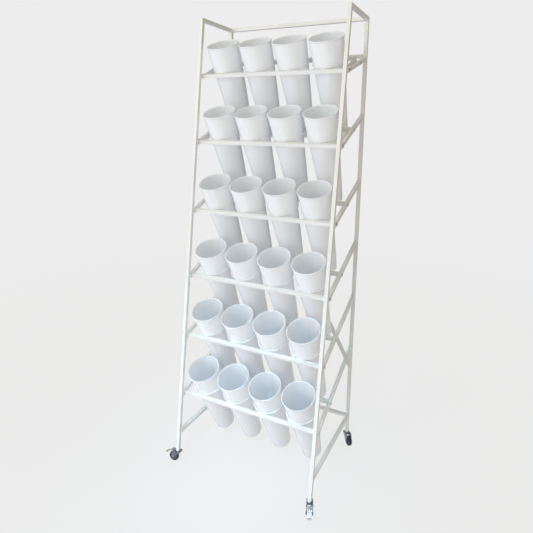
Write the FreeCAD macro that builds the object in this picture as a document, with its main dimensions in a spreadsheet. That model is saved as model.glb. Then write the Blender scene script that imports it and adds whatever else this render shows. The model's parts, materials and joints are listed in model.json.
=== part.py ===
import FreeCAD, Part
import os

import Sketcher

# Mobile tiered bucket rack.
# The design frame has X across the rack, Y from front to rear and Z up. Its zero is the floor below
# the middle of the two rear legs. The placements then move the whole rack so that the centre of its
# outline on the floor is the origin.

doc = FreeCAD.newDocument("tiered_bucket_rack")
sheet = doc.addObject("Spreadsheet::Sheet", "dims")

TIERS = (1, 2, 3, 4, 5, 6)
PLACES = (1, 2, 3, 4)
SIDES = (("left", -1), ("right", 1))

DIMENSIONS = (
    # whole frame
    ("centre_x", -14.696), ("centre_y", -277.261),
    ("spacing", 690), ("tube", 16), ("wall", 1.5),
    ("foot_z", 64), ("top_z", 2079), ("front_foot_y", -506), ("front_top_y", -241),
    ("low_bar_z", 153.5), ("upper_rail_z", 1917),
    # rungs of the two side frames, from the top tier down
    ("slope_1", 17.5), ("slope_2", 24), ("slope_3", 24), ("slope_4", 24), ("slope_5", 24), ("slope_6", 24),
    ("rung_front", 60), ("rung_length", 620), ("bay_width", 760),
    # tier frames: height of the front rail, its set-back behind the front leg, reach of the rear rail
    ("rail_z_1", 1828), ("rail_z_2", 1534), ("rail_z_3", 1220.5),
    ("rail_z_4", 915.5), ("rail_z_5", 628), ("rail_z_6", 343),
    ("rail_back", 23.5), ("rail_reach", 154), ("plug", 16),
    ("flat_thick", 4), ("flat_high", 38),
    # buckets and the wire rings that hold them
    ("tilt", 25.4), ("pitch", 163.7), ("bucket_back", 77), ("mouth_rise", 114.5),
    ("bucket_length", 428), ("bucket_top_r", 72.8), ("bucket_foot_r", 47.5), ("bucket_wall", 2.2),
    ("bucket_floor", 3), ("foot_edge", 2), ("rim_r", 74.7), ("rim_high", 5), ("rim_edge", 1),
    ("ring_r", 69.45), ("wire_r", 2),
    # bolts of the tier frames
    ("shank_r", 3), ("bore_r", 3.2), ("head_r", 6.5), ("head_high", 4.5), ("shank_in", 12),
    # diagonal brace behind the rear legs
    ("brace_low_z", 417.6), ("brace_high_z", 1665), ("brace_wide", 20), ("brace_thick", 4), ("brace_end", 4),
    # casters
    ("stem_r", 5), ("stem_bore_r", 5.05), ("stem_head_r", 8), ("stem_low_z", 49), ("stem_head_z", 51),
    ("flange_r", 11), ("flange_z", 61.5), ("stem_plug_r", 5), ("stem_top_z", 74),
    ("fork_low_z", 51.4), ("fork_top_z", 61.1), ("fork_wide", 28), ("fork_slot", 21.6), ("fork_nose", 13),
    ("trail", 25), ("wheel_r", 24), ("wheel_half", 9.2), ("hub_half", 10.4), ("hub_r", 7.5), ("web_half", 6),
    ("wheel_bore_r", 3.55), ("axle_r", 3.5), ("axle_bore_r", 3.52), ("axle_head_r", 5.5), ("axle_head", 2),
    ("pivot_x", 20), ("pivot_z", 55), ("pivot_r", 2), ("pivot_bore_r", 2.02), ("pedal_bore_r", 2.05),
    ("pedal_wide", 20.4),
    ("turn_front_left", 180), ("turn_front_right", -69), ("turn_rear_left", -90), ("turn_rear_right", -45.6),
)

for row, (alias, number) in enumerate(DIMENSIONS, start=1):
    sheet.set("A%d" % row, alias)
    sheet.set("B%d" % row, str(number))
    sheet.setAlias("B%d" % row, alias)
doc.recompute()


def size(expression):
    """The value of an expression of the sheet's dimensions."""
    return float(sheet.evalExpression(expression))


# Expressions that several pieces share, as points of the side view (Y, Z).
LEAN = "((dims.front_top_y - dims.front_foot_y) / (dims.top_z - dims.foot_z))"
LEG_HALF = "(dims.tube / 2 * sqrt(1 + %s ^ 2))" % LEAN
BORE_HALF = "((dims.tube / 2 - dims.wall) * sqrt(1 + %s ^ 2))" % LEAN


def rail_point(tier, along, above):
    """A point of a tier's tilted plane: so far behind the front rail's axis and so far above it."""
    rail_z = "dims.rail_z_%d" % tier
    rail_y = "(dims.front_foot_y + (%s - dims.foot_z) * %s + dims.rail_back)" % (rail_z, LEAN)
    y = "%s + (%s) * cos(dims.tilt) - (%s) * sin(dims.tilt)" % (rail_y, along, above)
    z = "%s + (%s) * sin(dims.tilt) + (%s) * cos(dims.tilt)" % (rail_z, along, above)
    return y, z


def rung_point(tier, along):
    """A point of a rung's axis, which crosses the axis of the tier's front rail."""
    y, z = rail_point(tier, "0", "0")
    return "%s + (%s) * cos(dims.slope_%d)" % (y, along, tier), "%s + (%s) * sin(dims.slope_%d)" % (z, along, tier)


def place(item, x, y, z, axis="0; 0; 1", angle="0"):
    """Put an object at a point of the design frame, turned about an axis."""
    item.setExpression(
        "Placement",
        "placement(vector(%s - dims.centre_x; %s - dims.centre_y; %s); rotation(vector(%s); %s))"
        % (x, y, z, axis, angle))


# ---- helpers that make the basic pieces ----

def plane(body, role):
    """One of the body's own origin planes."""
    return next(item for item in body.Origin.OriginFeatures if item.Role == role)


def new_sketch(body, role, name):
    sketch = body.newObject("Sketcher::SketchObject", name)
    sketch.AttachmentSupport = [(plane(body, role), "")]
    sketch.MapMode = "FlatFace"
    return sketch


def fix_point(sketch, geometry, position, across, up):
    """Hold a sketch point by its two coordinates, which are expressions."""
    for kind, axis, expression in (("DistanceX", -2, across), ("DistanceY", -1, up)):
        if expression == "0":
            sketch.addConstraint(Sketcher.Constraint("PointOnObject", geometry, position, axis))
        else:
            index = sketch.addConstraint(Sketcher.Constraint(kind, geometry, position, size(expression)))
            sketch.setExpression("Constraints[%d]" % index, expression)


def outline(body, role, name, points):
    """Sketch a closed outline of straight lines through points given as expressions."""
    sketch = new_sketch(body, role, name)
    spots = [FreeCAD.Vector(size(across), size(up), 0) for across, up in points]
    count = len(spots)
    for i in range(count):
        sketch.addGeometry(Part.LineSegment(spots[i], spots[(i + 1) % count]), False)
    for i in range(count):
        sketch.addConstraint(Sketcher.Constraint("Coincident", i, 2, (i + 1) % count, 1))
    for i, (across, up) in enumerate(points):
        fix_point(sketch, i, 1, across, up)
    return sketch


def round_outline(body, role, name, across, up, radius):
    """Sketch a circle whose centre and radius are expressions."""
    sketch = new_sketch(body, role, name)
    centre = FreeCAD.Vector(size(across), size(up), 0)
    sketch.addGeometry(Part.Circle(centre, FreeCAD.Vector(0, 0, 1), size(radius)), False)
    fix_point(sketch, 0, 3, across, up)
    index = sketch.addConstraint(Sketcher.Constraint("Radius", 0, size(radius)))
    sketch.setExpression("Constraints[%d]" % index, radius)
    return sketch


def pad(body, sketch, length):
    """Extrude a sketch evenly to both sides of its plane."""
    feature = body.newObject("PartDesign::Pad", body.Name + "_pad")
    feature.Profile = sketch
    feature.SideType = "Symmetric"
    feature.setExpression("Length", length)
    sketch.Visibility = False
    return feature


def pocket(body, sketch, length):
    """Cut a sketch evenly to both sides of its plane, and make sure that it removed material."""
    doc.recompute()
    before = body.Shape.Volume
    feature = body.newObject("PartDesign::Pocket", body.Name + "_pocket")
    feature.Profile = sketch
    feature.SideType = "Symmetric"
    feature.setExpression("Length", length)
    doc.recompute()
    if not body.Shape.Volume < before - 1:
        raise RuntimeError("%s: a pocket cut nothing" % body.Name)
    return feature


def revolve(body, sketch, axis):
    feature = body.newObject("PartDesign::Revolution", body.Name + "_revolution")
    feature.Profile = sketch
    feature.ReferenceAxis = (sketch, [axis])
    feature.Angle = 360
    return feature


def box(name, length, width, height, x, y, z):
    """A plain block: three sizes and the corner where it starts."""
    block = doc.addObject("Part::Box", name)
    block.setExpression("Length", length)
    block.setExpression("Width", width)
    block.setExpression("Height", height)
    block.setExpression("Placement", "placement(vector(%s; %s; %s); rotation(vector(0; 0; 1); 0))" % (x, y, z))
    return block


def cylinder(name, radius, height):
    rod = doc.addObject("Part::Cylinder", name)
    rod.setExpression("Radius", radius)
    rod.setExpression("Height", height)
    return rod


def cut(name, base, tool):
    result = doc.addObject("Part::Cut", name)
    result.Base = base
    result.Tool = tool
    return result


def group(name, items):
    result = doc.addObject("Part::Compound", name)
    result.Links = items
    return result


def square_tube(name, axis, length, plug="0"):
    """A square tube centred on its axis, X or Y. A plug length closes both ends with solid ends."""
    half = "-dims.tube / 2"
    bore = "dims.tube - 2 * dims.wall"
    inset = "-dims.tube / 2 + dims.wall"
    start = "-(%s) / 2" % length
    hollow = "(%s) + 2 * dims.wall" % length
    if plug != "0":
        hollow = "(%s) - 2 * (%s)" % (length, plug)
    hollow_start = "-(%s) / 2" % hollow
    if axis == "X":
        outer = box(name + "_outer", length, "dims.tube", "dims.tube", start, half, half)
        inner = box(name + "_inner", hollow, bore, bore, hollow_start, inset, inset)
    else:
        outer = box(name + "_outer", "dims.tube", length, "dims.tube", half, start, half)
        inner = box(name + "_inner", bore, hollow, bore, inset, hollow_start, inset)
    return cut(name, outer, inner)


nodes = []


def keep(item, label=None):
    """Register a finished piece under the name of its file."""
    if label:
        item.Label = label
    nodes.append(item)
    return item


# ---- legs: square tube, open at the foot and closed at the top ----

def leg(label, side, foot_y, top_y, half, bore_half):
    body = doc.addObject("PartDesign::Body", label)
    skin = outline(body, "YZ_Plane", label + "_skin", (
        ("%s - %s" % (foot_y, half), "dims.foot_z"), ("%s + %s" % (foot_y, half), "dims.foot_z"),
        ("%s + %s" % (top_y, half), "dims.top_z"), ("%s - %s" % (top_y, half), "dims.top_z")))
    pad(body, skin, "dims.tube")
    # the bore follows the leg's lean, starts at the open foot and stops one wall below the top
    low_y = foot_y
    high_y = "(%s - (%s - %s) * dims.wall / (dims.top_z - dims.foot_z))" % (top_y, top_y, foot_y)
    bore = outline(body, "YZ_Plane", label + "_bore", (
        ("%s - %s" % (low_y, bore_half), "dims.foot_z"), ("%s + %s" % (low_y, bore_half), "dims.foot_z"),
        ("%s + %s" % (high_y, bore_half), "dims.top_z - dims.wall"),
        ("%s - %s" % (high_y, bore_half), "dims.top_z - dims.wall")))
    pocket(body, bore, "dims.tube - 2 * dims.wall")
    place(body, "%d * dims.spacing / 2" % side, "0", "0")
    keep(body)


for side_name, side in SIDES:
    leg(side_name + "_front_leg", side, "dims.front_foot_y", "dims.front_top_y", LEG_HALF, BORE_HALF)
    leg(side_name + "_rear_leg", side, "0", "0", "dims.tube / 2", "(dims.tube / 2 - dims.wall)")


# ---- bolt places: on the rungs' axes, where the two rails of each tier end ----

BOLTS = []
for tier in TIERS:
    for end_name, along in (("front", "0"), ("rear", "dims.rail_reach")):
        for side_name, side in SIDES:
            BOLTS.append((tier, end_name, along, side_name, side))


def bolt_axis(name, radius, length, side, y, z, start):
    """A cylinder along X that starts on the outer face of a side frame and points inwards."""
    rod = cylinder(name, radius, length)
    x = "%d * (dims.spacing / 2 + dims.tube / 2 + (%s))" % (side, start)
    rod.setExpression(
        "Placement",
        "placement(vector(%s; %s; %s); rotation(vector(0; 1; 0); %d))" % (x, y, z, -90 * side))
    return rod


bores = []
for tier, end_name, along, side_name, side in BOLTS:
    y, z = rung_point(tier, along)
    bores.append(bolt_axis("bolt_bore_%d_%s_%s" % (tier, end_name, side_name), "dims.bore_r",
                           "dims.tube + dims.flat_thick + dims.shank_in + 4", side, y, z, "1"))
bolt_bores = group("bolt_bores", bores)


# ---- side frames: horizontal bars at the top and bottom, and a sloping rung for each tier ----

# The bay is the space between the front and rear legs; it trims the ends of the bars to the legs.
bay = doc.addObject("PartDesign::Body", "side_bay")
pad(bay, outline(bay, "YZ_Plane", "side_bay_outline", (
    ("dims.front_foot_y + %s" % LEG_HALF, "dims.foot_z"), ("-dims.tube / 2", "dims.foot_z"),
    ("-dims.tube / 2", "dims.top_z"), ("dims.front_top_y + %s" % LEG_HALF, "dims.top_z"))), "dims.bay_width")

for side_name, side in SIDES:
    bars = []
    x = "%d * dims.spacing / 2" % side
    for bar_name, bar_z in (("top", "dims.top_z - dims.tube / 2"), ("bottom", "dims.low_bar_z")):
        bar = square_tube("%s_%s_bar" % (side_name, bar_name), "Y", "2 * dims.rung_length")
        bar.setExpression("Placement", "placement(vector(%s; 0; %s); rotation(vector(1; 0; 0); 0))" % (x, bar_z))
        bars.append(bar)
    for tier in TIERS:
        rung = square_tube("%s_rung_%d" % (side_name, tier), "Y", "dims.rung_length")
        y, z = rung_point(tier, "dims.rung_length / 2 - dims.rung_front")
        rung.setExpression(
            "Placement",
            "placement(vector(%s; %s; %s); rotation(vector(1; 0; 0); dims.slope_%d))" % (x, y, z, tier))
        bars.append(rung)
    trimmed = doc.addObject("Part::Common", side_name + "_bars_trimmed")
    trimmed.Base = group(side_name + "_bars_untrimmed", bars)
    trimmed.Tool = bay
    cross_bars = cut(side_name + "_cross_bars", trimmed, bolt_bores)
    place(cross_bars, "0", "0", "0")
    keep(cross_bars)


# ---- rails between the two rear legs ----

for label, rail_z in (("top_rear_rail", "dims.top_z - dims.tube / 2"),
                      ("upper_rear_rail", "dims.upper_rail_z"),
                      ("lower_rear_rail", "dims.low_bar_z")):
    rail = square_tube(label, "X", "dims.spacing - dims.tube")
    place(rail, "0", "0", rail_z)
    keep(rail)


# ---- diagonal brace: a flat bar on the rear faces of the rear legs ----

BRACE_RISE = "(dims.brace_high_z - dims.brace_low_z)"
BRACE_SPAN = "(sqrt(dims.spacing ^ 2 + %s ^ 2) + 2 * dims.brace_end)" % BRACE_RISE
brace = box("brace_bar", BRACE_SPAN, "dims.brace_thick", "dims.brace_wide",
            "-%s / 2" % BRACE_SPAN, "0", "-dims.brace_wide / 2")
rear_brace = group("rear_brace", [brace])
place(rear_brace, "0", "dims.tube / 2", "(dims.brace_low_z + dims.brace_high_z) / 2",
      "0; 1; 0", "atan(%s / dims.spacing)" % BRACE_RISE)
keep(rear_brace)


# ---- tier frames: a front and a rear rail, and tapered side flats on the two upper tiers ----

FLAT_TIERS = (1, 2)

for tier in TIERS:
    pieces = []
    rail_length = "dims.spacing - dims.tube"
    if tier in FLAT_TIERS:
        rail_length = "dims.spacing - dims.tube - 2 * dims.flat_thick"
    for end_name, along in (("front", "0"), ("rear", "dims.rail_reach")):
        rail = square_tube("tier_%d_%s_rail" % (tier, end_name), "X", rail_length, "dims.plug")
        y, z = rail_point(tier, along, "0")
        rail.setExpression(
            "Placement", "placement(vector(0; %s; %s); rotation(vector(1; 0; 0); dims.tilt))" % (y, z))
        pieces.append(rail)
    if tier in FLAT_TIERS:
        for side_name, side in SIDES:
            # as high as the rails at its front end, and deeper towards its rear end
            flat = doc.addObject("PartDesign::Body", "tier_%d_%s_flat" % (tier, side_name))
            rear = "dims.rail_reach + dims.tube / 2"
            pad(flat, outline(flat, "YZ_Plane", flat.Name + "_outline", (
                ("-dims.tube / 2", "-dims.tube / 2"), (rear, "dims.tube / 2 - dims.flat_high"),
                (rear, "dims.tube / 2"), ("-dims.tube / 2", "dims.tube / 2"))), "dims.flat_thick")
            x = "%d * (dims.spacing - dims.tube - dims.flat_thick) / 2" % side
            y, z = rail_point(tier, "0", "0")
            flat.setExpression(
                "Placement", "placement(vector(%s; %s; %s); rotation(vector(1; 0; 0); dims.tilt))" % (x, y, z))
            pieces.append(flat)
    frame = cut("tier_%d_frame" % tier, group("tier_%d_pieces" % tier, pieces), bolt_bores)
    place(frame, "0", "0", "0")
    keep(frame)


# ---- wire rings that lie on the two rails of each tier ----

def bucket_x(number):
    return "(%s * dims.pitch)" % (number - (len(PLACES) + 1) / 2)


for tier in TIERS:
    rings = []
    y, z = rail_point(tier, "dims.bucket_back", "dims.tube / 2 + dims.wire_r")
    for number in PLACES:
        ring = doc.addObject("Part::Torus", "ring_%d_%d" % (tier, number))
        ring.setExpression("Radius1", "dims.ring_r")
        ring.setExpression("Radius2", "dims.wire_r")
        ring.setExpression(
            "Placement",
            "placement(vector(%s; %s; %s); rotation(vector(1; 0; 0); dims.tilt))" % (bucket_x(number), y, z))
        rings.append(ring)
    ring_row = group("tier_%d_rings" % tier, rings)
    place(ring_row, "0", "0", "0")
    keep(ring_row)


# ---- bolts: a hex head outside the rung and a shank through it into the tier frame ----

pieces = []
for tier, end_name, along, side_name, side in BOLTS:
    name = "bolt_%d_%s_%s" % (tier, end_name, side_name)
    y, z = rung_point(tier, along)
    shank = bolt_axis(name + "_shank", "dims.shank_r",
                      "dims.tube + dims.flat_thick + dims.shank_in", side, y, z, "0")
    head = doc.addObject("Part::Prism", name + "_head")
    head.Polygon = 6
    head.setExpression("Circumradius", "dims.head_r")
    head.setExpression("Height", "dims.head_high")
    x = "%d * (dims.spacing / 2 + dims.tube / 2 + dims.head_high)" % side
    head.setExpression(
        "Placement", "placement(vector(%s; %s; %s); rotation(vector(0; 1; 0); %d))" % (x, y, z, -90 * side))
    bolt = doc.addObject("Part::Fuse", name)
    bolt.Base = head
    bolt.Tool = shank
    pieces.append(bolt)
bolts = group("tier_bolts", pieces)
place(bolts, "0", "0", "0")
keep(bolts)


# ---- buckets: tapered pail with a rolled rim, leaning forward in its ring ----

def bucket(tier, number):
    label = "bucket_%d_%d" % (tier, number)
    body = doc.addObject("PartDesign::Body", label)
    inner_top = "dims.bucket_top_r - dims.bucket_wall"
    inner_foot = "dims.bucket_foot_r - dims.bucket_wall"
    length = "dims.bucket_length"
    profile = outline(body, "XZ_Plane", label + "_profile", (
        ("0", "0"), ("dims.bucket_foot_r - dims.foot_edge", "0"), ("dims.bucket_foot_r", "dims.foot_edge"),
        ("dims.bucket_top_r", length + " - dims.rim_high"), ("dims.rim_r", length + " - dims.rim_high + dims.rim_edge"),
        ("dims.rim_r", length + " - dims.rim_edge"), ("dims.rim_r - dims.rim_edge", length),
        (inner_top + " + dims.rim_edge", length), (inner_top, length + " - dims.rim_edge"),
        (inner_foot, "dims.bucket_floor"), ("0", "dims.bucket_floor")))
    revolve(body, profile, "V_Axis")
    y, z = rail_point(tier, "dims.bucket_back", "dims.mouth_rise - dims.bucket_length")
    place(body, bucket_x(number), y, z, "1; 0; 0", "dims.tilt")
    keep(body)


for tier in TIERS:
    for number in PLACES:
        bucket(tier, number)


# ---- casters ----

CASTERS = (
    # name, side, foot of the leg, turn of the trail from +X, foot brake
    ("front_left", -1, "dims.front_foot_y", "dims.turn_front_left", True),
    ("front_right", 1, "dims.front_foot_y", "dims.turn_front_right", True),
    ("rear_left", -1, "0", "dims.turn_rear_left", False),
    ("rear_right", 1, "0", "dims.turn_rear_right", False),
)


def put_caster(item, side, foot_y, turn):
    place(item, "%d * dims.spacing / 2" % side, foot_y, "0", "0; 0; 1", turn)


def stem(name, side, foot_y):
    """Stem fixed in the foot of a leg: plug, flange, pin and riveted end."""
    body = doc.addObject("PartDesign::Body", name)
    profile = outline(body, "XZ_Plane", name + "_profile", (
        ("0", "dims.stem_low_z"), ("dims.stem_head_r", "dims.stem_low_z"), ("dims.stem_head_r", "dims.stem_head_z"),
        ("dims.stem_r", "dims.stem_head_z"), ("dims.stem_r", "dims.flange_z"), ("dims.flange_r", "dims.flange_z"),
        ("dims.flange_r", "dims.foot_z"), ("dims.stem_plug_r", "dims.foot_z"),
        ("dims.stem_plug_r", "dims.stem_top_z"), ("0", "dims.stem_top_z")))
    revolve(body, profile, "V_Axis")
    body.setExpression(
        "Placement",
        "placement(vector(%d * dims.spacing / 2; %s; 0); rotation(vector(0; 0; 1); 0))" % (side, foot_y))
    return body


def fork(label, side, foot_y, turn, brake):
    """Swivel fork in the caster's own frame: swivel axis at zero, wheel towards +X."""
    body = doc.addObject("PartDesign::Body", label + "_shell")
    pad(body, outline(body, "XZ_Plane", label + "_side", (
        ("-dims.fork_nose", "dims.fork_top_z"), ("-dims.fork_nose", "dims.fork_low_z"),
        ("-3", "dims.fork_low_z - 4"), ("dims.trail - 8", "19"), ("dims.trail - 3", "15.5"), ("dims.trail + 4", "16.5"),
        ("dims.trail + 7.5", "21.5"), ("dims.trail + 5.5", "38"), ("dims.pivot_x + 5.5", "dims.pivot_z + 1"),
        ("dims.pivot_x + 1.5", "dims.fork_top_z - 1"), ("dims.fork_nose + 2", "dims.fork_top_z"))), "dims.fork_wide")
    pocket(body, outline(body, "XZ_Plane", label + "_slot", (
        ("-dims.fork_nose - 1", "dims.fork_low_z"), ("dims.pivot_x - 7", "dims.fork_low_z"),
        ("dims.pivot_x - 7", "dims.fork_top_z + 1"), ("dims.trail + 20", "dims.fork_top_z + 1"),
        ("dims.trail + 20", "5"), ("-dims.fork_nose - 1", "5"))), "dims.fork_slot")
    pocket(body, round_outline(body, "XY_Plane", label + "_stem_bore", "0", "0", "dims.stem_bore_r"),
           "2 * dims.foot_z")
    pocket(body, round_outline(body, "XZ_Plane", label + "_axle_bore", "dims.trail", "dims.wheel_r",
                               "dims.axle_bore_r"), "2 * dims.fork_wide")
    pieces = [body]
    if brake:
        pocket(body, round_outline(body, "XZ_Plane", label + "_pivot_bore", "dims.pivot_x", "dims.pivot_z",
                                   "dims.pivot_bore_r"), "2 * dims.fork_wide")
        pieces.append(cross_pin(label + "_pivot", "dims.pivot_r", "dims.pivot_r + 1.5", "dims.pivot_x", "dims.pivot_z"))
    pieces.append(cross_pin(label + "_axle", "dims.axle_r", "dims.axle_head_r", "dims.trail", "dims.wheel_r"))
    whole = group(label, pieces)
    put_caster(whole, side, foot_y, turn)
    keep(whole)


def cross_pin(name, radius, head_radius, x, z):
    """A riveted pin across the fork, with a head on each side."""
    body = doc.addObject("PartDesign::Body", name)
    half = "dims.fork_wide / 2"
    full = "dims.fork_wide / 2 + dims.axle_head"
    revolve(body, outline(body, "YZ_Plane", name + "_profile", (
        ("-(%s)" % full, "0"), ("-(%s)" % full, head_radius), ("-(%s)" % half, head_radius), ("-(%s)" % half, radius),
        (half, radius), (half, head_radius), (full, head_radius), (full, "0"))), "H_Axis")
    body.setExpression("Placement", "placement(vector(%s; 0; %s); rotation(vector(0; 0; 1); 0))" % (x, z))
    return body


def wheel(label, side, foot_y, turn):
    body = doc.addObject("PartDesign::Body", label)
    half = (
        ("dims.hub_half", "dims.wheel_bore_r"), ("dims.hub_half", "dims.hub_r"),
        ("dims.web_half", "dims.hub_r + 1"), ("dims.web_half", "dims.wheel_r - 9"),
        ("dims.wheel_half", "dims.wheel_r - 7"), ("dims.wheel_half", "dims.wheel_r - 2.5"),
        ("dims.wheel_half - 3", "dims.wheel_r"))
    left = tuple(("-(%s)" % across, up) for across, up in half)
    revolve(body, outline(body, "YZ_Plane", label + "_profile", left + tuple(reversed(half))), "H_Axis")
    place(body, "%d * dims.spacing / 2 + dims.trail * cos(%s)" % (side, turn),
          "%s + dims.trail * sin(%s)" % (foot_y, turn), "dims.wheel_r", "0; 0; 1", turn)
    keep(body)


def pedal(label, side, foot_y, turn):
    """Brake pedal that turns on the pivot pin behind the fork's crown."""
    body = doc.addObject("PartDesign::Body", label)
    pad(body, outline(body, "XZ_Plane", label + "_side", (
        ("-4", "2"), ("-4", "-2"), ("-2", "-4"), ("3", "-4"), ("17", "-2.2"), ("42.5", "-20.3"), ("48", "-20.5"),
        ("48.5", "-18"), ("43.5", "-17.8"), ("18.5", "0.3"), ("4", "3.6"), ("-2", "4"))), "dims.pedal_wide")
    pocket(body, round_outline(body, "XZ_Plane", label + "_bore", "0", "0", "dims.pedal_bore_r"),
           "2 * dims.pedal_wide")
    place(body, "%d * dims.spacing / 2 + dims.pivot_x * cos(%s)" % (side, turn),
          "%s + dims.pivot_x * sin(%s)" % (foot_y, turn), "dims.pivot_z", "0; 0; 1", turn)
    keep(body)


stems = group("caster_stems", [stem(name + "_stem", side, foot_y) for name, side, foot_y, turn, brake in CASTERS])
place(stems, "0", "0", "0")
keep(stems)

for name, side, foot_y, turn, brake in CASTERS:
    fork(name + "_fork", side, foot_y, turn, brake)
    wheel(name + "_wheel", side, foot_y, turn)
    if brake:
        pedal(name + "_pedal", side, foot_y, turn)


# ---- checks and files ----

doc.recompute()
for item in doc.Objects:
    if "Invalid" in item.State or "Error" in item.State:
        raise RuntimeError("%s did not recompute: %s" % (item.Label, item.State))
os.makedirs("parts", exist_ok=True)
whole = FreeCAD.BoundBox()
for item in nodes:
    shape = item.Shape
    if shape.isNull() or not shape.isValid() or shape.Volume <= 0:
        raise RuntimeError("%s has no sound shape" % item.Label)
    whole.add(shape.BoundBox)
for item in nodes:
    item.Shape.exportStep("parts/%s.step" % item.Label)
    print("%-24s %3d solid(s) %12.1f mm3" % (item.Label, len(item.Shape.Solids), item.Shape.Volume))
print("nodes", len(nodes))
print("box X %.3f %.3f  Y %.3f %.3f  Z %.3f %.3f"
      % (whole.XMin, whole.XMax, whole.YMin, whole.YMax, whole.ZMin, whole.ZMax))
print("box centre X %.4f Y %.4f" % (whole.Center.x, whole.Center.y))
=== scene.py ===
import json
import math
import random

import bmesh
import bpy
from mathutils import Matrix, Vector


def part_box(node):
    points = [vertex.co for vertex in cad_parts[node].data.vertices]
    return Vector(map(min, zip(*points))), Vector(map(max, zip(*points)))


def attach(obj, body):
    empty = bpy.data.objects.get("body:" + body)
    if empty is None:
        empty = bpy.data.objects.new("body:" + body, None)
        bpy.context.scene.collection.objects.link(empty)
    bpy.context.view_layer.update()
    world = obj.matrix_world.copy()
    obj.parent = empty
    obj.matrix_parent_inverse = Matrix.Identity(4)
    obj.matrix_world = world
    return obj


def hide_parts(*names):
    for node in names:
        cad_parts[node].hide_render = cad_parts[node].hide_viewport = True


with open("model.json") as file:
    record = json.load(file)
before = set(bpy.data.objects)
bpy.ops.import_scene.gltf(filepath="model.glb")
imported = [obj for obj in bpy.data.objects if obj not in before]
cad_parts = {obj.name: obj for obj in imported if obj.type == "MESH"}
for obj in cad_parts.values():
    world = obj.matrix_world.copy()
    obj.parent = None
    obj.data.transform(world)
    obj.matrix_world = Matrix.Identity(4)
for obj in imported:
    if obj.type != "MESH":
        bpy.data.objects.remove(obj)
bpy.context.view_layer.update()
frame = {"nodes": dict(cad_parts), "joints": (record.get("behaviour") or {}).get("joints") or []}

# ------------------------------------------------------------------ dimensions (metres)
TUBE = 0.016
HALF = TUBE / 2
CORNER = 0.0015
# a tier's plane: its tilt, front rail to rear rail, front rail to bucket axis, front rail down to bucket foot
TILT = math.radians(25.4)
REACH = 0.154
BUCKET_BACK = 0.077
HANG = 0.3135
# wire rings: height over the rails' axes, radii of the ring and its wire, distance between two rings
RING_LIFT = 0.010
RING_R = 0.06945
WIRE_R = 0.002
PITCH = 0.1637
TIERS = (1, 2, 3, 4, 5, 6)
PLACES = (1, 2, 3, 4)
FLAT_TIERS = (1, 2)
FLAT_THICK = 0.004
FLAT_HIGH = 0.038
BOLT_REACH = 0.032
SHANK_R = 0.003
HEAD_R = 0.0065
HEAD_HIGH = 0.0045
BUCKET_LENGTH = 0.428
BUCKET_FOOT_R = 0.0475
BUCKET_TOP_R = 0.0728
BUCKET_RIM_R = 0.0747
BUCKET_WALL = 0.0022
WHEEL_HALF = 0.0092
WHEEL_R = 0.024
HUB_HALF = 0.0104
WEB_HALF = 0.0058
# slope of the side rungs: the top tier's, and that of all the others
SLOPES = {1: math.radians(17.5)}
SLOPE = math.radians(24.0)
CAMERA_PLACE = Vector((0.944734, -1.767217, 1.5945))
CAMERA_TURN = math.radians(25.3346)
CAMERA_DIP = math.radians(11.5278)
CAMERA_ROLL = math.radians(0.9726)
X_AXIS = Vector((1, 0, 0))
Y_AXIS = Vector((0, 1, 0))
Z_AXIS = Vector((0, 0, 1))
JOINTS = {joint["name"]: joint for joint in frame["joints"]}
rng = random.Random(7)


def middle(node):
    low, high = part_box(node)
    return (low + high) / 2


LEG_X = {"left": middle("left_rear_leg").x, "right": middle("right_rear_leg").x}
MID_X = (LEG_X["left"] + LEG_X["right"]) / 2
REAR_Y = middle("right_rear_leg").y
FOOT_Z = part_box("right_rear_leg")[0].z
TOP_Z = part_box("right_rear_leg")[1].z
front_low, front_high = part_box("right_front_leg")


# ------------------------------------------------------------------ materials
def new_material(name):
    material = bpy.data.materials.new(name)
    material.use_nodes = True
    nodes = material.node_tree.nodes
    nodes.clear()
    output = nodes.new("ShaderNodeOutputMaterial")
    shader = nodes.new("ShaderNodeBsdfPrincipled")
    material.node_tree.links.new(shader.outputs["BSDF"], output.inputs["Surface"])
    return material, shader


def add(material, kind, inputs=None, **settings):
    node = material.node_tree.nodes.new(kind)
    for key, value in settings.items():
        setattr(node, key, value)
    for key, value in (inputs or {}).items():
        if isinstance(value, bpy.types.NodeSocket):
            material.node_tree.links.new(value, node.inputs[key])
        else:
            node.inputs[key].default_value = value
    return node


def noise(material, scale, detail=3.0, roughness=0.5, distortion=0.0, stretch=(1, 1, 1)):
    """Noise in the object's own space. A stretch squeezes it along an axis."""
    place = add(material, "ShaderNodeTexCoord")
    mapping = add(material, "ShaderNodeMapping", {"Vector": place.outputs["Object"], "Scale": stretch})
    node = add(material, "ShaderNodeTexNoise", {
        "Vector": mapping.outputs["Vector"], "Scale": scale, "Detail": detail,
        "Roughness": roughness, "Distortion": distortion})
    return node.outputs["Fac"]


def ramp(material, factor, stops):
    node = add(material, "ShaderNodeValToRGB", {"Fac": factor})
    elements = node.color_ramp.elements
    while len(elements) < len(stops):
        elements.new(0.5)
    for element, (position, colour) in zip(elements, stops):
        element.position = position
        element.color = (*colour, 1.0)
    return node.outputs["Color"]


def remap(material, value, low, high):
    node = add(material, "ShaderNodeMapRange", {"Value": value, "To Min": low, "To Max": high})
    return node.outputs["Result"]


def bump(material, height, strength, distance, normal=None):
    inputs = {"Height": height, "Strength": strength, "Distance": distance}
    if normal is not None:
        inputs["Normal"] = normal
    return add(material, "ShaderNodeBump", inputs).outputs["Normal"]


def join(material, socket, shader, name):
    """Link a socket to a named input of a shader."""
    material.node_tree.links.new(socket, shader.inputs[name])


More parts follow.
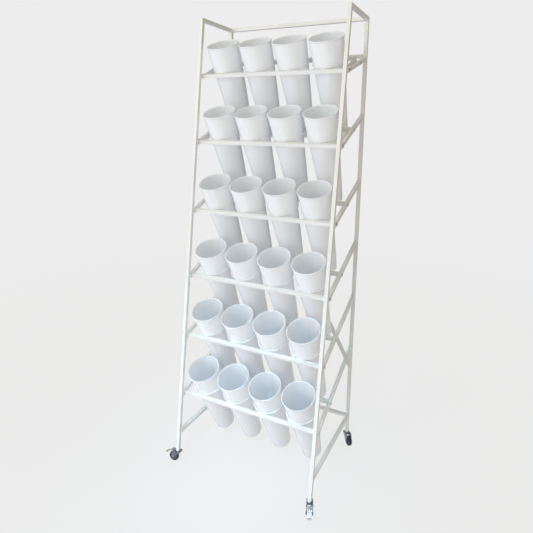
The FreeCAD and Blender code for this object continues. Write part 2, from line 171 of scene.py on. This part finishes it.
def powder_coat(name, light, dark, stain, rough):
    """Semi-gloss powder coat: orange peel, soft tone change and a few scuffs."""
    material, shader = new_material(name)
    tone = ramp(material, noise(material, 5.0, 4.0, 0.55), ((0.35, dark), (0.65, light)))
    scuff = noise(material, 38.0, 8.0, 0.7, 0.4, (1.0, 1.0, 0.35))
    mask = ramp(material, scuff, ((0.66, (0, 0, 0)), (0.74, (1, 1, 1))))
    mask_value = add(material, "ShaderNodeMath", {0: mask, 1: 0.35}, operation="MULTIPLY").outputs["Value"]
    colour = add(material, "ShaderNodeMix", {"Factor": mask_value}, data_type="RGBA")
    material.node_tree.links.new(tone, colour.inputs["A"])
    colour.inputs["B"].default_value = (*stain, 1.0)
    join(material, colour.outputs["Result"], shader, "Base Color")
    sheen = remap(material, noise(material, 60.0, 2.0), rough - 0.06, rough + 0.08)
    join(material, sheen, shader, "Roughness")
    peel = bump(material, noise(material, 520.0, 2.0, 0.4), 0.25, 0.00025)
    join(material, bump(material, scuff, 0.08, 0.0003, peel), shader, "Normal")
    shader.inputs["Coat Weight"].default_value = 0.25
    shader.inputs["Coat Roughness"].default_value = 0.18
    return material


def bucket_plastic(name):
    """Glossy white polypropylene with faint moulding streaks, a little light through the wall, and a faint
    bluish painted glow that lifts its shaded parts.
    """
    material, shader = new_material(name)
    streak = noise(material, 7.0, 4.0, 0.55, 0.6, (1.0, 1.0, 0.22))
    cloud = noise(material, 3.0, 3.0)
    blend = add(material, "ShaderNodeMath", {0: streak, 1: cloud}, operation="MULTIPLY").outputs["Value"]
    colour = ramp(material, blend, ((0.12, (0.81, 0.82, 0.85)), (0.42, (0.885, 0.89, 0.91))))
    join(material, colour, shader, "Base Color")
    join(material, remap(material, noise(material, 26.0, 5.0, 0.6, 0.2, (1.0, 1.0, 0.3)), 0.16, 0.30),
         shader, "Roughness")
    soft = bump(material, streak, 0.10, 0.0012)
    join(material, bump(material, noise(material, 210.0, 2.0), 0.05, 0.0002, soft), shader, "Normal")
    shader.inputs["Subsurface Weight"].default_value = 0.3
    shader.inputs["Subsurface Radius"].default_value = (0.008, 0.009, 0.010)
    shader.inputs["Subsurface Scale"].default_value = 1.0
    # painted glow: a faint bluish emission that brightens the pails' shaded insides and lower bodies, though
    # the plastic gives no light
    shader.inputs["Emission Color"].default_value = (0.93, 0.965, 1.0, 1.0)
    shader.inputs["Emission Strength"].default_value = 0.055
    shader.inputs["IOR"].default_value = 1.49
    shader.inputs["Coat Weight"].default_value = 0.2
    shader.inputs["Coat Roughness"].default_value = 0.08
    return material


def plated(name, light, dark, rough):
    """Zinc plate: cloudy spangle and fine scratches."""
    material, shader = new_material(name)
    shader.inputs["Metallic"].default_value = 1.0
    cloud = noise(material, 55.0, 5.0, 0.65)
    join(material, ramp(material, cloud, ((0.3, dark), (0.62, light))), shader, "Base Color")
    scratch = noise(material, 320.0, 3.0, 0.6, 0.0, (1.0, 0.06, 1.0))
    join(material, remap(material, scratch, rough - 0.08, rough + 0.16), shader, "Roughness")
    spangle = bump(material, cloud, 0.10, 0.0003)
    join(material, bump(material, scratch, 0.12, 0.0001, spangle), shader, "Normal")
    return material


def rubber(name):
    """Dark wheel rubber with dust on the tread."""
    material, shader = new_material(name)
    dust = ramp(material, noise(material, 85.0, 6.0, 0.7), (
        (0.42, (0.016, 0.020, 0.034)), (0.60, (0.040, 0.046, 0.062)), (0.78, (0.13, 0.13, 0.135))))
    join(material, dust, shader, "Base Color")
    join(material, remap(material, noise(material, 40.0, 3.0), 0.38, 0.62), shader, "Roughness")
    join(material, bump(material, noise(material, 420.0, 4.0), 0.3, 0.0002), shader, "Normal")
    return material


def studio_floor(name, fade_start, fade_end):
    """Pale matt paper, lit from below as well, that fades into the studio's air far from the object."""
    material, shader = new_material(name)
    paper = ramp(material, noise(material, 0.6, 2.0), (
        (0.3, (0.105, 0.105, 0.105)), (0.7, (0.120, 0.120, 0.118))))
    join(material, paper, shader, "Base Color")
    shader.inputs["Emission Color"].default_value = (1.0, 1.0, 1.0, 1.0)
    shader.inputs["Emission Strength"].default_value = 0.755
    shader.inputs["Roughness"].default_value = 0.95
    shader.inputs["Specular IOR Level"].default_value = 0.1
    place = add(material, "ShaderNodeTexCoord")
    reach = add(material, "ShaderNodeVectorMath", {0: place.outputs["Object"]}, operation="LENGTH")
    fade = add(material, "ShaderNodeMapRange", {
        "Value": reach.outputs["Value"], "From Min": fade_start, "From Max": fade_end,
        "To Min": 1.0, "To Max": 0.0}, interpolation_type="SMOOTHSTEP")
    join(material, fade.outputs["Result"], shader, "Alpha")
    return material


FRAME = powder_coat("frame_powder_coat", (0.84, 0.83, 0.805), (0.785, 0.775, 0.75), (0.58, 0.55, 0.49), 0.34)
# ring coat: a white powder coat, made brighter than its own colour as a painted highlight so the rings show
# as bright lines in the shade under the rims
WIRE = powder_coat("ring_powder_coat", (0.95, 0.95, 0.945), (0.91, 0.91, 0.90), (0.62, 0.60, 0.57), 0.22)
PLASTIC = bucket_plastic("bucket_polypropylene")
ZINC = plated("bolt_zinc", (0.72, 0.72, 0.70), (0.52, 0.52, 0.51), 0.34)
CHROME = plated("caster_zinc", (0.86, 0.87, 0.89), (0.42, 0.44, 0.49), 0.20)
DULL_ZINC = plated("fork_zinc", (0.30, 0.31, 0.36), (0.07, 0.075, 0.11), 0.24)
RUBBER = rubber("caster_rubber")
HUB = powder_coat("caster_hub", (0.070, 0.078, 0.19), (0.045, 0.050, 0.13), (0.30, 0.31, 0.33), 0.4)


# ------------------------------------------------------------------ mesh helpers
def finish_mesh(name, bm, materials, smooth_angle=35.0):
    bmesh.ops.recalc_face_normals(bm, faces=bm.faces)
    mesh = bpy.data.meshes.new(name)
    bm.to_mesh(mesh)
    bm.free()
    for material in materials:
        mesh.materials.append(material)
    mesh.shade_smooth()
    mesh.set_sharp_from_angle(angle=math.radians(smooth_angle))
    return mesh


def new_object(name, mesh, matrix=None):
    item = bpy.data.objects.new(name, mesh)
    bpy.context.scene.collection.objects.link(item)
    if matrix is not None:
        item.matrix_world = matrix
    return item


def weighted(item):
    """Flat faces stay flat beside their rounded corners."""
    modifier = item.modifiers.new("weighted", "WEIGHTED_NORMAL")
    modifier.weight = 50
    modifier.keep_sharp = True


def loop_of(bm, points):
    """New vertices at points."""
    return [bm.verts.new(point) for point in points]


def bridge(bm, first, second):
    """Faces between two closed loops of the same count."""
    count = len(first)
    for i in range(count):
        bm.faces.new((first[i], first[(i + 1) % count], second[(i + 1) % count], second[i]))


def revolve(bm, profile, segments, axis="Z", matrix=None):
    """Turn a profile of (radius, height) about an axis. Zero radius makes a pole."""
    rows = []
    for radius, height in profile:
        if radius < 1e-7:
            points = [Vector((0, 0, height))]
        else:
            points = [Vector((radius * math.cos(a), radius * math.sin(a), height))
                      for a in (2 * math.pi * k / segments for k in range(segments))]
        if axis == "Y":
            points = [Vector((p.x, p.z, p.y)) for p in points]
        if matrix is not None:
            points = [matrix @ p for p in points]
        rows.append(loop_of(bm, points))
    for low, high in zip(rows, rows[1:]):
        if len(low) == 1 and len(high) == 1:
            continue
        if len(low) == 1 or len(high) == 1:
            pole, ring = (low[0], high) if len(low) == 1 else (high[0], low)
            for i in range(segments):
                bm.faces.new((pole, ring[i], ring[(i + 1) % segments]))
        else:
            bridge(bm, low, high)


def square_section(half, corner, steps=3):
    """Outline of a rounded square, as pairs of offsets."""
    points = []
    for quarter, (sx, sy) in enumerate(((1, 1), (-1, 1), (-1, -1), (1, -1))):
        for k in range(steps + 1):
            angle = math.pi / 2 * (quarter + k / steps)
            points.append((sx * (half - corner) + corner * math.cos(angle),
                           sy * (half - corner) + corner * math.sin(angle)))
    return points


def plane_cut(point, direction, plane):
    """Where the line through a point meets a plane given by a point and a normal."""
    where, normal = plane
    return point + direction * ((where - point).dot(normal) / direction.dot(normal))


def add_bar(bm, centre, direction, side, start, end, half=HALF, corner=CORNER, bevel=0.0):
    """A rounded square tube along a direction, trimmed by two planes."""
    direction = direction.normalized()
    side = side.normalized()
    up = direction.cross(side).normalized()
    outline = square_section(half, corner)
    first = [plane_cut(centre + side * a + up * b, direction, start) for a, b in outline]
    last = [plane_cut(centre + side * a + up * b, direction, end) for a, b in outline]
    rings = [first, last]
    if bevel:
        shrunk = square_section(half - bevel, max(corner - bevel, 0.0006))
        lowest = [plane_cut(centre + side * a + up * b, direction, start) for a, b in shrunk]
        highest = [plane_cut(centre + side * a + up * b, direction, end) for a, b in shrunk]
        first = [p + direction * bevel for p in first]
        last = [p - direction * bevel for p in last]
        rings = [lowest, first, last, highest]
    loops = [loop_of(bm, ring) for ring in rings]
    for low, high in zip(loops, loops[1:]):
        bridge(bm, low, high)
    bm.faces.new(loops[0])
    bm.faces.new(loops[-1])


def add_weld(bm, centre, direction, side, plane, radius=0.0017, half=HALF, corner=CORNER):
    """A weld bead round the end of a square tube, with the ripples of a hand-made weld."""
    direction = direction.normalized()
    side = side.normalized()
    up = direction.cross(side).normalized()
    outline = square_section(half, corner, 2)
    path = []
    count = len(outline)
    for i in range(count):
        a, b = Vector(outline[i]), Vector(outline[(i + 1) % count])
        steps = max(1, int((b - a).length / 0.0022))
        path.extend(a.lerp(b, k / steps) for k in range(steps))
    points = [plane_cut(centre + side * p.x + up * p.y, direction, plane) for p in path]
    count = len(points)
    rings = []
    for i, point in enumerate(points):
        along = (points[(i + 1) % count] - points[i - 1]).normalized()
        outward = (point - centre) - direction * (point - centre).dot(direction)
        outward = (outward - along * outward.dot(along)).normalized()
        across = along.cross(outward).normalized()
        r = radius * (1.0 + 0.22 * (i % 2) + rng.uniform(-0.12, 0.12))
        rings.append(loop_of(bm, [point + (outward * math.cos(t) + across * math.sin(t)) * r
                                  for t in (2 * math.pi * k / 8 for k in range(8))]))
    for i in range(count):
        bridge(bm, rings[i], rings[(i + 1) % count])


def add_blob(bm, centre, normal, along, length, width, height):
    """A small spot weld: a flattened dome."""
    normal = normal.normalized()
    along = along.normalized()
    across = normal.cross(along).normalized()
    rows = []
    for k in range(5):
        angle = math.pi / 2 * k / 4
        scale, lift = math.cos(angle), math.sin(angle) * height
        if k == 4:
            rows.append([bm.verts.new(centre + normal * height)])
            continue
        rows.append(loop_of(bm, [
            centre + normal * lift + (along * math.cos(t) * length + across * math.sin(t) * width) * scale
            for t in (2 * math.pi * j / 12 for j in range(12))]))
    for low, high in zip(rows, rows[1:]):
        if len(high) == 1:
            for j in range(12):
                bm.faces.new((low[j], low[(j + 1) % 12], high[0]))
        else:
            bridge(bm, low, high)
    bm.faces.new(rows[0])


def settle(item, body, nodes=()):
    """Let a piece ride on a body and hide the CAD nodes it stands for."""
    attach(item, body)
    if nodes:
        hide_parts(*nodes)


# ------------------------------------------------------------------ places read from the frame
# The front leg's depth is its lean's run plus the tube cut level, which depends on the lean in turn.
leg_depth = front_high.y - front_low.y
lean_run = leg_depth - TUBE
for _ in range(4):
    lean = math.atan(lean_run / (TOP_Z - FOOT_Z))
    lean_run = leg_depth - TUBE / math.cos(lean)
LEG_HALF_Y = HALF / math.cos(lean)
FRONT_FOOT_Y = front_low.y + LEG_HALF_Y
FRONT_TOP_Y = front_high.y - LEG_HALF_Y
LEAN_DIRECTION = Vector((0, FRONT_TOP_Y - FRONT_FOOT_Y, TOP_Z - FOOT_Z)).normalized()
LEAN_NORMAL = X_AXIS.cross(LEAN_DIRECTION).normalized()


def bucket_foot(tier, number):
    return Vector(JOINTS["lift_%d_%d" % (tier, number)]["pos_m"])


def tilted(tier, along, above, x=None):
    """A point of a tier's tilted plane, measured from the axis of its front rail."""
    foot = bucket_foot(tier, 1)
    along -= BUCKET_BACK
    above += HANG
    return Vector((MID_X if x is None else x,
                   foot.y + along * math.cos(TILT) - above * math.sin(TILT),
                   foot.z + along * math.sin(TILT) + above * math.cos(TILT)))


TILT_ALONG = Vector((0, math.cos(TILT), math.sin(TILT)))

# ------------------------------------------------------------------ legs and side bars
top_plane = (Vector((0, 0, TOP_Z)), Z_AXIS)
foot_plane = (Vector((0, 0, FOOT_Z)), Z_AXIS)
front_leg_plane = (Vector((0, FRONT_FOOT_Y + LEG_HALF_Y, FOOT_Z)), LEAN_NORMAL)
rear_leg_plane = (Vector((0, REAR_Y - HALF, 0)), Y_AXIS)

for side_name, leg_x in LEG_X.items():
    bm = bmesh.new()
    foot = Vector((leg_x, FRONT_FOOT_Y, FOOT_Z))
    add_bar(bm, foot, LEAN_DIRECTION, X_AXIS, foot_plane, top_plane, bevel=0.0008)
    leg = new_object(side_name + "_front_leg_tube", finish_mesh(side_name + "_front_leg_tube", bm, [FRAME]))
    weighted(leg)
    settle(leg, "rack", [side_name + "_front_leg"])
    bm = bmesh.new()
    add_bar(bm, Vector((leg_x, REAR_Y, FOOT_Z)), Z_AXIS, X_AXIS, foot_plane, top_plane, bevel=0.0008)
    leg = new_object(side_name + "_rear_leg_tube", finish_mesh(side_name + "_rear_leg_tube", bm, [FRAME]))
    weighted(leg)
    settle(leg, "rack", [side_name + "_rear_leg"])

    bm = bmesh.new()
    welds = bmesh.new()
    low_z = (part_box("lower_rear_rail")[0].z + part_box("lower_rear_rail")[1].z) / 2
    bars = [(Vector((leg_x, REAR_Y, TOP_Z - HALF)), Y_AXIS), (Vector((leg_x, REAR_Y, low_z)), Y_AXIS)]
    for tier in TIERS:
        slope = SLOPES.get(tier, SLOPE)
        point = tilted(tier, 0, 0, leg_x)
        bars.append((point, Vector((0, math.cos(slope), math.sin(slope)))))
    for point, direction in bars:
        add_bar(bm, point, direction, X_AXIS, front_leg_plane, rear_leg_plane)
        for plane in (front_leg_plane, rear_leg_plane):
            add_weld(welds, plane_cut(point, direction, plane), direction, X_AXIS, plane, half=HALF - 0.0004)
    item = new_object(side_name + "_rungs", finish_mesh(side_name + "_rungs", bm, [FRAME]))
    weighted(item)
    settle(item, "rack", [side_name + "_cross_bars"])
    item = new_object(side_name + "_rung_welds", finish_mesh(side_name + "_rung_welds", welds, [FRAME], 80))
    settle(item, "rack")

# ------------------------------------------------------------------ rails between the rear legs
inner_left = (Vector((LEG_X["left"] + HALF, 0, 0)), X_AXIS)
inner_right = (Vector((LEG_X["right"] - HALF, 0, 0)), X_AXIS)
for node in ("top_rear_rail", "upper_rear_rail", "lower_rear_rail"):
    bm = bmesh.new()
    point = middle(node)
    add_bar(bm, point, X_AXIS, Y_AXIS, inner_left, inner_right)
    for plane in (inner_left, inner_right):
        add_weld(bm, plane_cut(point, X_AXIS, plane), X_AXIS, Y_AXIS, plane, half=HALF - 0.0004)
    item = new_object(node + "_tube", finish_mesh(node + "_tube", bm, [FRAME]))
    weighted(item)
    settle(item, "rack", [node])


# ------------------------------------------------------------------ tier frames
def add_prism(bm, outline, push, bevel=0.0008):
    """A flat piece with softened edges: an outline pushed along a direction."""
    first = loop_of(bm, outline)
    second = loop_of(bm, [point + push for point in outline])
    bridge(bm, first, second)
    bm.faces.new(first)
    bm.faces.new(second)
    edges = list({edge for vert in first + second for edge in vert.link_edges})
    bmesh.ops.bevel(bm, geom=edges, offset=bevel, segments=2, affect="EDGES")


for tier in TIERS:
    bm = bmesh.new()
    inset = FLAT_THICK if tier in FLAT_TIERS else 0.0
    ends = ((Vector((LEG_X["left"] + HALF + inset, 0, 0)), X_AXIS),
            (Vector((LEG_X["right"] - HALF - inset, 0, 0)), X_AXIS))
    for along in (0.0, REACH):
        point = tilted(tier, along, 0)
        add_bar(bm, point, X_AXIS, TILT_ALONG, *ends)
    if tier in FLAT_TIERS:
        for x in (LEG_X["left"] + HALF, LEG_X["right"] - HALF - FLAT_THICK):
            rear = REACH + HALF
            outline = [(-HALF, -HALF), (rear, HALF - FLAT_HIGH), (rear, HALF), (-HALF, HALF)]
            add_prism(bm, [tilted(tier, a, b, x) for a, b in outline], X_AXIS * FLAT_THICK)
        for along in (0.0, REACH):
            for plane in ends:
                point = plane_cut(tilted(tier, along, 0), X_AXIS, plane)
                add_weld(bm, point, X_AXIS, TILT_ALONG, plane, 0.0014, HALF - 0.0006)
    name = "tier_%d_rails" % tier
    item = new_object(name, finish_mesh(name, bm, [FRAME]))
    weighted(item)
    settle(item, "rack", ["tier_%d_frame" % tier])


# ------------------------------------------------------------------ wire rings
def ring_row_mesh():
    """Four rings in a row with their spot welds, about the front rail's axis."""
    bm = bmesh.new()
    steps = 112
    for number in PLACES:
        x = (number - 2.5) * PITCH
        rings = []
        for k in range(steps):
            angle = 2 * math.pi * k / steps
            out = Vector((math.cos(angle), math.sin(angle), 0))
            centre = Vector((x, BUCKET_BACK, RING_LIFT)) + out * RING_R
            # the wire is thicker where its two ends are welded together, at the back of the ring
            wire = WIRE_R * (1.18 if k in (27, 28, 29) else 1.0)
            rings.append(loop_of(bm, [centre + (out * math.cos(t) + Z_AXIS * math.sin(t)) * wire
                                      for t in (2 * math.pi * j / 10 for j in range(10))]))
        for k in range(steps):
            bridge(bm, rings[k], rings[(k + 1) % steps])
        for reach in (BUCKET_BACK - RING_R, BUCKET_BACK + RING_R):
            for dx in (-0.006, 0.006):
                centre = Vector((x + dx + rng.uniform(-0.001, 0.001), reach, HALF - 0.0002))
                add_blob(bm, centre, Z_AXIS, X_AXIS, rng.uniform(0.0026, 0.0036), 0.0026, 0.0021)
    return finish_mesh("ring_row", bm, [WIRE], 60)


ring_mesh = ring_row_mesh()
for tier in TIERS:
    matrix = Matrix.Translation(tilted(tier, 0, 0)) @ Matrix.Rotation(TILT, 4, "X")
    item = new_object("tier_%d_ring_row" % tier, ring_mesh, matrix)
    settle(item, "rack", ["tier_%d_rings" % tier])


# ------------------------------------------------------------------ buckets
def arc(centre_r, centre_z, radius, start, end, steps):
    return [(centre_r + radius * math.cos(math.radians(start + (end - start) * k / steps)),
             centre_z + radius * math.sin(math.radians(start + (end - start) * k / steps)))
            for k in range(steps + 1)]


def bucket_mesh():
    """Tapered pail: foot ring, plain wall, rolled rim and an inner floor with faint steps."""
    length, foot_r, top_r, rim_r, wall = BUCKET_LENGTH, BUCKET_FOOT_R, BUCKET_TOP_R, BUCKET_RIM_R, BUCKET_WALL

    def wall_r(z):
        return foot_r + (top_r - foot_r) * z / length

    outside = [(0.0, 0.0026), (0.016, 0.0026), (0.0175, 0.0022), (0.033, 0.0022), (0.0345, 0.0026),
               (0.0405, 0.0026), (0.0418, 0.0021), (0.0424, 0.0006), (0.0432, 0.0), (0.0452, 0.0)]
    outside += arc(foot_r - 0.0020, 0.0020, 0.0020, -75, 0, 4)
    outside += [(wall_r(z), z) for z in (0.05, 0.1, 0.15, 0.2, 0.25, 0.3, 0.35, 0.39, 0.41)]
    outside += [(wall_r(0.4205), 0.4205), (wall_r(0.4226) + 0.0001, 0.4226)]
    lip = arc(rim_r - 0.0024, length - 0.0026, 0.0024, -62, 90, 8)
    inner = arc(top_r - wall + 0.0019, length - 0.0021, 0.0019, 95, 172, 4)
    inner += [(wall_r(z) - wall, z) for z in (0.418, 0.39, 0.34, 0.28, 0.22, 0.16, 0.10, 0.05)]
    inner += arc(wall_r(0.0) - wall - 0.0035, 0.0066, 0.0036, 0, -88, 4)
    floor = [(0.0385, 0.0030), (0.0375, 0.0037), (0.0345, 0.0037), (0.0335, 0.0030), (0.0235, 0.0030),
             (0.0225, 0.0036), (0.0205, 0.0036), (0.0195, 0.0030), (0.006, 0.0030), (0.0045, 0.0040),
             (0.0, 0.0042)]
    bm = bmesh.new()
    revolve(bm, outside + lip + inner + floor, 96)
    return finish_mesh("bucket", bm, [PLASTIC], 50)


bucket_data = bucket_mesh()
for tier in TIERS:
    for number in PLACES:
        name = "bucket_%d_%d" % (tier, number)
        matrix = (Matrix.Translation(bucket_foot(tier, number)) @ Matrix.Rotation(TILT, 4, "X")
                  @ Matrix.Rotation(math.pi / 2 * rng.randrange(4), 4, "Z"))
        item = new_object(name + "_pail", bucket_data, matrix)
        settle(item, name, [name])


# ------------------------------------------------------------------ bolts
def add_bolt(bm, x, point, sign):
    """Hex head with a chamfered crown and a washer outside a rung, and the shank inside it."""
    turn = rng.uniform(0, math.pi / 3)
    matrix = Matrix.Translation(Vector((x, point.y, point.z))) @ Matrix.Rotation(sign * math.pi / 2, 4, "Y")
    washer = [(0.0, 0.0), (0.0082, 0.0), (0.0084, 0.0003), (0.0084, 0.0009), (0.0081, 0.0012), (0.0, 0.0012)]
    revolve(bm, washer, 24, matrix=matrix)
    hexagon = []
    for height, radius in ((0.0010, HEAD_R), (0.0036, HEAD_R), (HEAD_HIGH, 0.0054)):
        hexagon.append(loop_of(bm, [
            matrix @ Vector((radius * math.cos(a), radius * math.sin(a), height))
            for a in (turn + k * math.pi / 3 for k in range(6))]))
    for low, high in zip(hexagon, hexagon[1:]):
        bridge(bm, low, high)
    bm.faces.new(hexagon[-1])
    revolve(bm, [(0.0, -BOLT_REACH), (SHANK_R, -BOLT_REACH), (SHANK_R, 0.0)], 12, matrix=matrix)


bm = bmesh.new()
for tier in TIERS:
    slope = SLOPES.get(tier, SLOPE)
    for along in (0.0, REACH):
        point = tilted(tier, 0, 0) + Vector((0, math.cos(slope), math.sin(slope))) * along
        add_bolt(bm, LEG_X["left"] - HALF, point, -1)
        add_bolt(bm, LEG_X["right"] + HALF, point, 1)
item = new_object("tier_bolt_heads", finish_mesh("tier_bolt_heads", bm, [ZINC], 30))
settle(item, "rack", ["tier_bolts"])


# ------------------------------------------------------------------ casters
def wheel_mesh():
    """Hard rubber wheel: crowned tread, recessed web with ribs, and a hub with a bore through it."""
    half, hub, radius, web = WHEEL_HALF, HUB_HALF, WHEEL_R, WEB_HALF
    side = [(0.00355, hub), (0.0064, hub), (0.0072, hub - 0.0009), (0.0076, web + 0.0005), (0.0086, web),
            (0.0152, web), (0.0163, web + 0.0005), (0.0172, half - 0.0007), (0.0179, half), (0.0202, half),
            (0.0217, half - 0.0007), (0.0228, half - 0.0019), (0.0236, half - 0.0038),
            (radius, half - 0.0062)]
    bm = bmesh.new()
    profile = [(r, y) for r, y in side] + [(r, -y) for r, y in reversed(side)]
    revolve(bm, profile + [side[0]], 64, "Y")
    bmesh.ops.remove_doubles(bm, verts=bm.verts, dist=1e-6)
    for face in bm.faces:
        centre = face.calc_center_median()
        if math.hypot(centre.x, centre.z) < 0.0160:
            face.material_index = 1
    for k in range(6):
        angle = 2 * math.pi * k / 6
        out = Vector((math.cos(angle), 0, math.sin(angle)))
        across = Vector((-math.sin(angle), 0, math.cos(angle)))
        for sign in (-1, 1):
            start = len(bm.faces)
            corners = [out * r + across * a for r, a in
                       ((0.0074, -0.0009), (0.0162, -0.0009), (0.0162, 0.0009), (0.0074, 0.0009))]
            add_prism(bm, [point + Y_AXIS * sign * web for point in corners], Y_AXIS * sign * 0.0014, 0.0004)
            bm.faces.ensure_lookup_table()
            for face in bm.faces[start:]:
                face.material_index = 1
    return finish_mesh("caster_wheel", bm, [RUBBER, HUB], 40)


wheel_data = wheel_mesh()
for place in ("front_left", "front_right", "rear_left", "rear_right"):
    joint = JOINTS[place + "_roll"]
    axis = Vector(joint["axis"])
    turn = math.atan2(-axis.x, axis.y)
    matrix = Matrix.Translation(Vector(joint["pos_m"])) @ Matrix.Rotation(turn, 4, "Z")
    item = new_object(place + "_wheel_tyre", wheel_data, matrix)
    settle(item, place + "_wheel", [place + "_wheel"])


def soften(node, width, segments=2):
    """Round the edges of a CAD node that keeps its own shape."""
    modifier = frame["nodes"][node].modifiers.new("soft_edges", "BEVEL")
    modifier.width = width
    modifier.segments = segments
    modifier.limit_method = "ANGLE"
    modifier.angle_limit = math.radians(35)


def finish_node(node, material):
    """Give a CAD node that keeps its own shape its material."""
    item = frame["nodes"][node]
    item.data.materials.clear()
    item.data.materials.append(material)


for node in ("caster_stems", "front_left_pedal", "front_right_pedal"):
    finish_node(node, CHROME)
for node in ("front_left_fork", "front_right_fork", "rear_left_fork", "rear_right_fork"):
    finish_node(node, DULL_ZINC)
finish_node("rear_brace", FRAME)
soften("rear_brace", 0.0008)
for place in ("front_left", "front_right", "rear_left", "rear_right"):
    soften(place + "_fork", 0.0008)
for place in ("front_left", "front_right"):
    soften(place + "_pedal", 0.0008)

# ------------------------------------------------------------------ stage, lights and camera
bm = bmesh.new()
revolve(bm, [(0.0, 0.0), (1.0, 0.0), (7.0, 0.0)], 96)
floor = new_object("studio_floor", finish_mesh("studio_floor", bm, [studio_floor("studio_paper", 1.2, 5.5)]))
floor.visible_diffuse = False

world = bpy.data.worlds.new("studio_air")
bpy.context.scene.world = world
world.use_nodes = True
tree = world.node_tree
tree.nodes.clear()
# the backdrop that the camera sees, and the softer light that the object gets: brightest from the front
# and from the ground, with a warmer wall on the right
backdrop = tree.nodes.new("ShaderNodeBackground")
backdrop.inputs["Color"].default_value = (0.847, 0.847, 0.847, 1.0)
backdrop.inputs["Strength"].default_value = 1.0
air = tree.nodes.new("ShaderNodeBackground")
air.inputs["Strength"].default_value = 1.36
direction = tree.nodes.new("ShaderNodeTexCoord").outputs["Generated"]


def glow(towards, stops):
    """Colour of the air by how far a direction points towards a given one, from -1 to 1."""
    dot = tree.nodes.new("ShaderNodeVectorMath")
    dot.operation = "DOT_PRODUCT"
    dot.inputs[1].default_value = towards
    tree.links.new(direction, dot.inputs[0])
    span = tree.nodes.new("ShaderNodeMapRange")
    span.inputs["From Min"].default_value = -1.0
    tree.links.new(dot.outputs["Value"], span.inputs["Value"])
    node = tree.nodes.new("ShaderNodeValToRGB")
    elements = node.color_ramp.elements
    while len(elements) < len(stops):
        elements.new(0.5)
    for element, (position, colour) in zip(elements, stops):
        element.position = position
        element.color = (*colour, 1.0)
    tree.links.new(span.outputs["Result"], node.inputs["Fac"])
    return node.outputs["Color"]


def times(first, second):
    """Product of two colours."""
    node = tree.nodes.new("ShaderNodeMix")
    node.data_type = "RGBA"
    node.blend_type = "MULTIPLY"
    node.inputs["Factor"].default_value = 1.0
    tree.links.new(first, node.inputs["A"])
    tree.links.new(second, node.inputs["B"])
    return node.outputs["Result"]


front = glow((-0.20, -0.98, 0.0), (
    (0.05, (0.20, 0.20, 0.21)), (0.45, (0.51, 0.50, 0.49)), (0.90, (0.93, 0.90, 0.865))))
right = glow((1.0, 0.0, 0.0), ((0.50, (0.97, 0.985, 1.0)), (0.92, (0.86, 0.77, 0.60))))
above = glow((0.0, 0.0, 1.0), ((0.30, (0.86, 0.89, 0.99)), (0.58, (0.685, 0.72, 0.69))))
tree.links.new(times(times(front, right), above), air.inputs["Color"])
path = tree.nodes.new("ShaderNodeLightPath")
mix = tree.nodes.new("ShaderNodeMixShader")
output = tree.nodes.new("ShaderNodeOutputWorld")
tree.links.new(path.outputs["Is Camera Ray"], mix.inputs["Fac"])
tree.links.new(air.outputs["Background"], mix.inputs[1])
tree.links.new(backdrop.outputs["Background"], mix.inputs[2])
tree.links.new(mix.outputs["Shader"], output.inputs["Surface"])


def area_light(name, position, target, size, power, colour, spread=180):
    data = bpy.data.lights.new(name, "AREA")
    data.spread = math.radians(spread)
    data.shape = "RECTANGLE"
    data.size, data.size_y = size
    data.energy = power
    data.color = colour
    item = bpy.data.objects.new(name, data)
    bpy.context.scene.collection.objects.link(item)
    item.location = position
    item.rotation_euler = (Vector(target) - Vector(position)).to_track_quat("-Z", "Y").to_euler()
    item.visible_camera = False


area_light("key", (-2.8, -4.4, 3.4), (0, 0, 1.1), (2.8, 2.8), 61, (1.0, 0.98, 0.945))
area_light("low_key", (-1.2, -2.4, 0.5), (0, 0, 0.5), (1.2, 0.8), 4.5, (0.30, 0.58, 1.0))
area_light("floor_strip", (-0.25, -1.55, 0.02), (-0.25, -1.5499, 1.0), (0.10, 1.9), 2.5, (1.0, 0.96, 0.97))
area_light("mouth_light", (0.3, -2.3, 2.6), (0, -0.35, 0.32), (0.9, 0.9), 2.4, (0.36, 0.68, 1.0), 27)
area_light("side_low", (2.8, 0.7, 1.6), (0.35, -0.1, 0.35), (1.2, 1.2), 7, (0.95, 0.95, 1.0))
area_light("strip", (-1.1, -3.0, 1.5), (0, 0, 1.25), (0.05, 2.4), 4.0, (1.0, 0.94, 0.955))
area_light("rim", (-0.6, 3.2, 3.4), (0, 0, 1.2), (3.0, 2.0), 12, (1.0, 0.99, 0.96))

camera_data = bpy.data.cameras.new("camera")
camera_data.sensor_width = 36.0
camera_data.lens = 30.622
camera_data.shift_x = -0.03255
camera_data.shift_y = -0.0831
camera_data.clip_end = 100.0
camera = bpy.data.objects.new("camera", camera_data)
bpy.context.scene.collection.objects.link(camera)
camera.matrix_world = (Matrix.Translation(CAMERA_PLACE)
                       @ Matrix.Rotation(CAMERA_TURN, 4, "Z")
                       @ Matrix.Rotation(math.pi / 2 - CAMERA_DIP, 4, "X")
                       @ Matrix.Rotation(CAMERA_ROLL, 4, "Z"))
bpy.context.scene.camera = camera
bpy.context.scene.view_settings.view_transform = "Standard"
